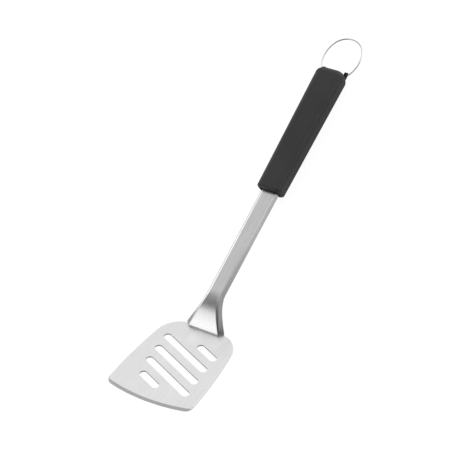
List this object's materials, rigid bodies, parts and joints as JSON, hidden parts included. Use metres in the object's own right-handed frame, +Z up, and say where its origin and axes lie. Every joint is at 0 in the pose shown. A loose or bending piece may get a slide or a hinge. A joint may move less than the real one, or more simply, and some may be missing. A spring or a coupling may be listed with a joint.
{
  "type": "barbecue spatula",
  "caption": "Barbecue spatula with a slotted, bevelled steel blade, a stamped channel shank, a soft-skinned grip and a swinging wire hanging loop.",
  "frame": {"origin": "under the middle of the part's box, on the surface that it lies on", "axes": "+Z up; -Y towards the blade and +Y towards the grip and its hanging loop; +X is to the right seen from above with the blade pointing away"},
  "size_m": [0.0926, 0.448, 0.0493],
  "materials": {
    "blade_steel": "fine satin grain, ground bevel",
    "shank_steel": "satin, polished along its rounded edges",
    "core_plastic": "moulded black plastic",
    "grip_rubber": "soft matt black, fine moulded grain",
    "pin_steel": "plain",
    "wire_steel": "drawn wire, bright"
  },
  "bodies": {
    "spatula": {"blade": "blade_steel", "shank": "shank_steel", "grip_core": "core_plastic", "grip_skin": "grip_rubber", "front_pin": "pin_steel", "rear_pin": "pin_steel"},
    "loop": {"hanging_loop": "wire_steel"}
  },
  "joints": [
    {"name": "loop_swing", "type": "hinge", "parent": "spatula", "child": "loop", "pos_m": [0, 0.18207, 0.00793], "axis": [1, 0, 0], "range_deg": [-164, 158]}
  ]
}
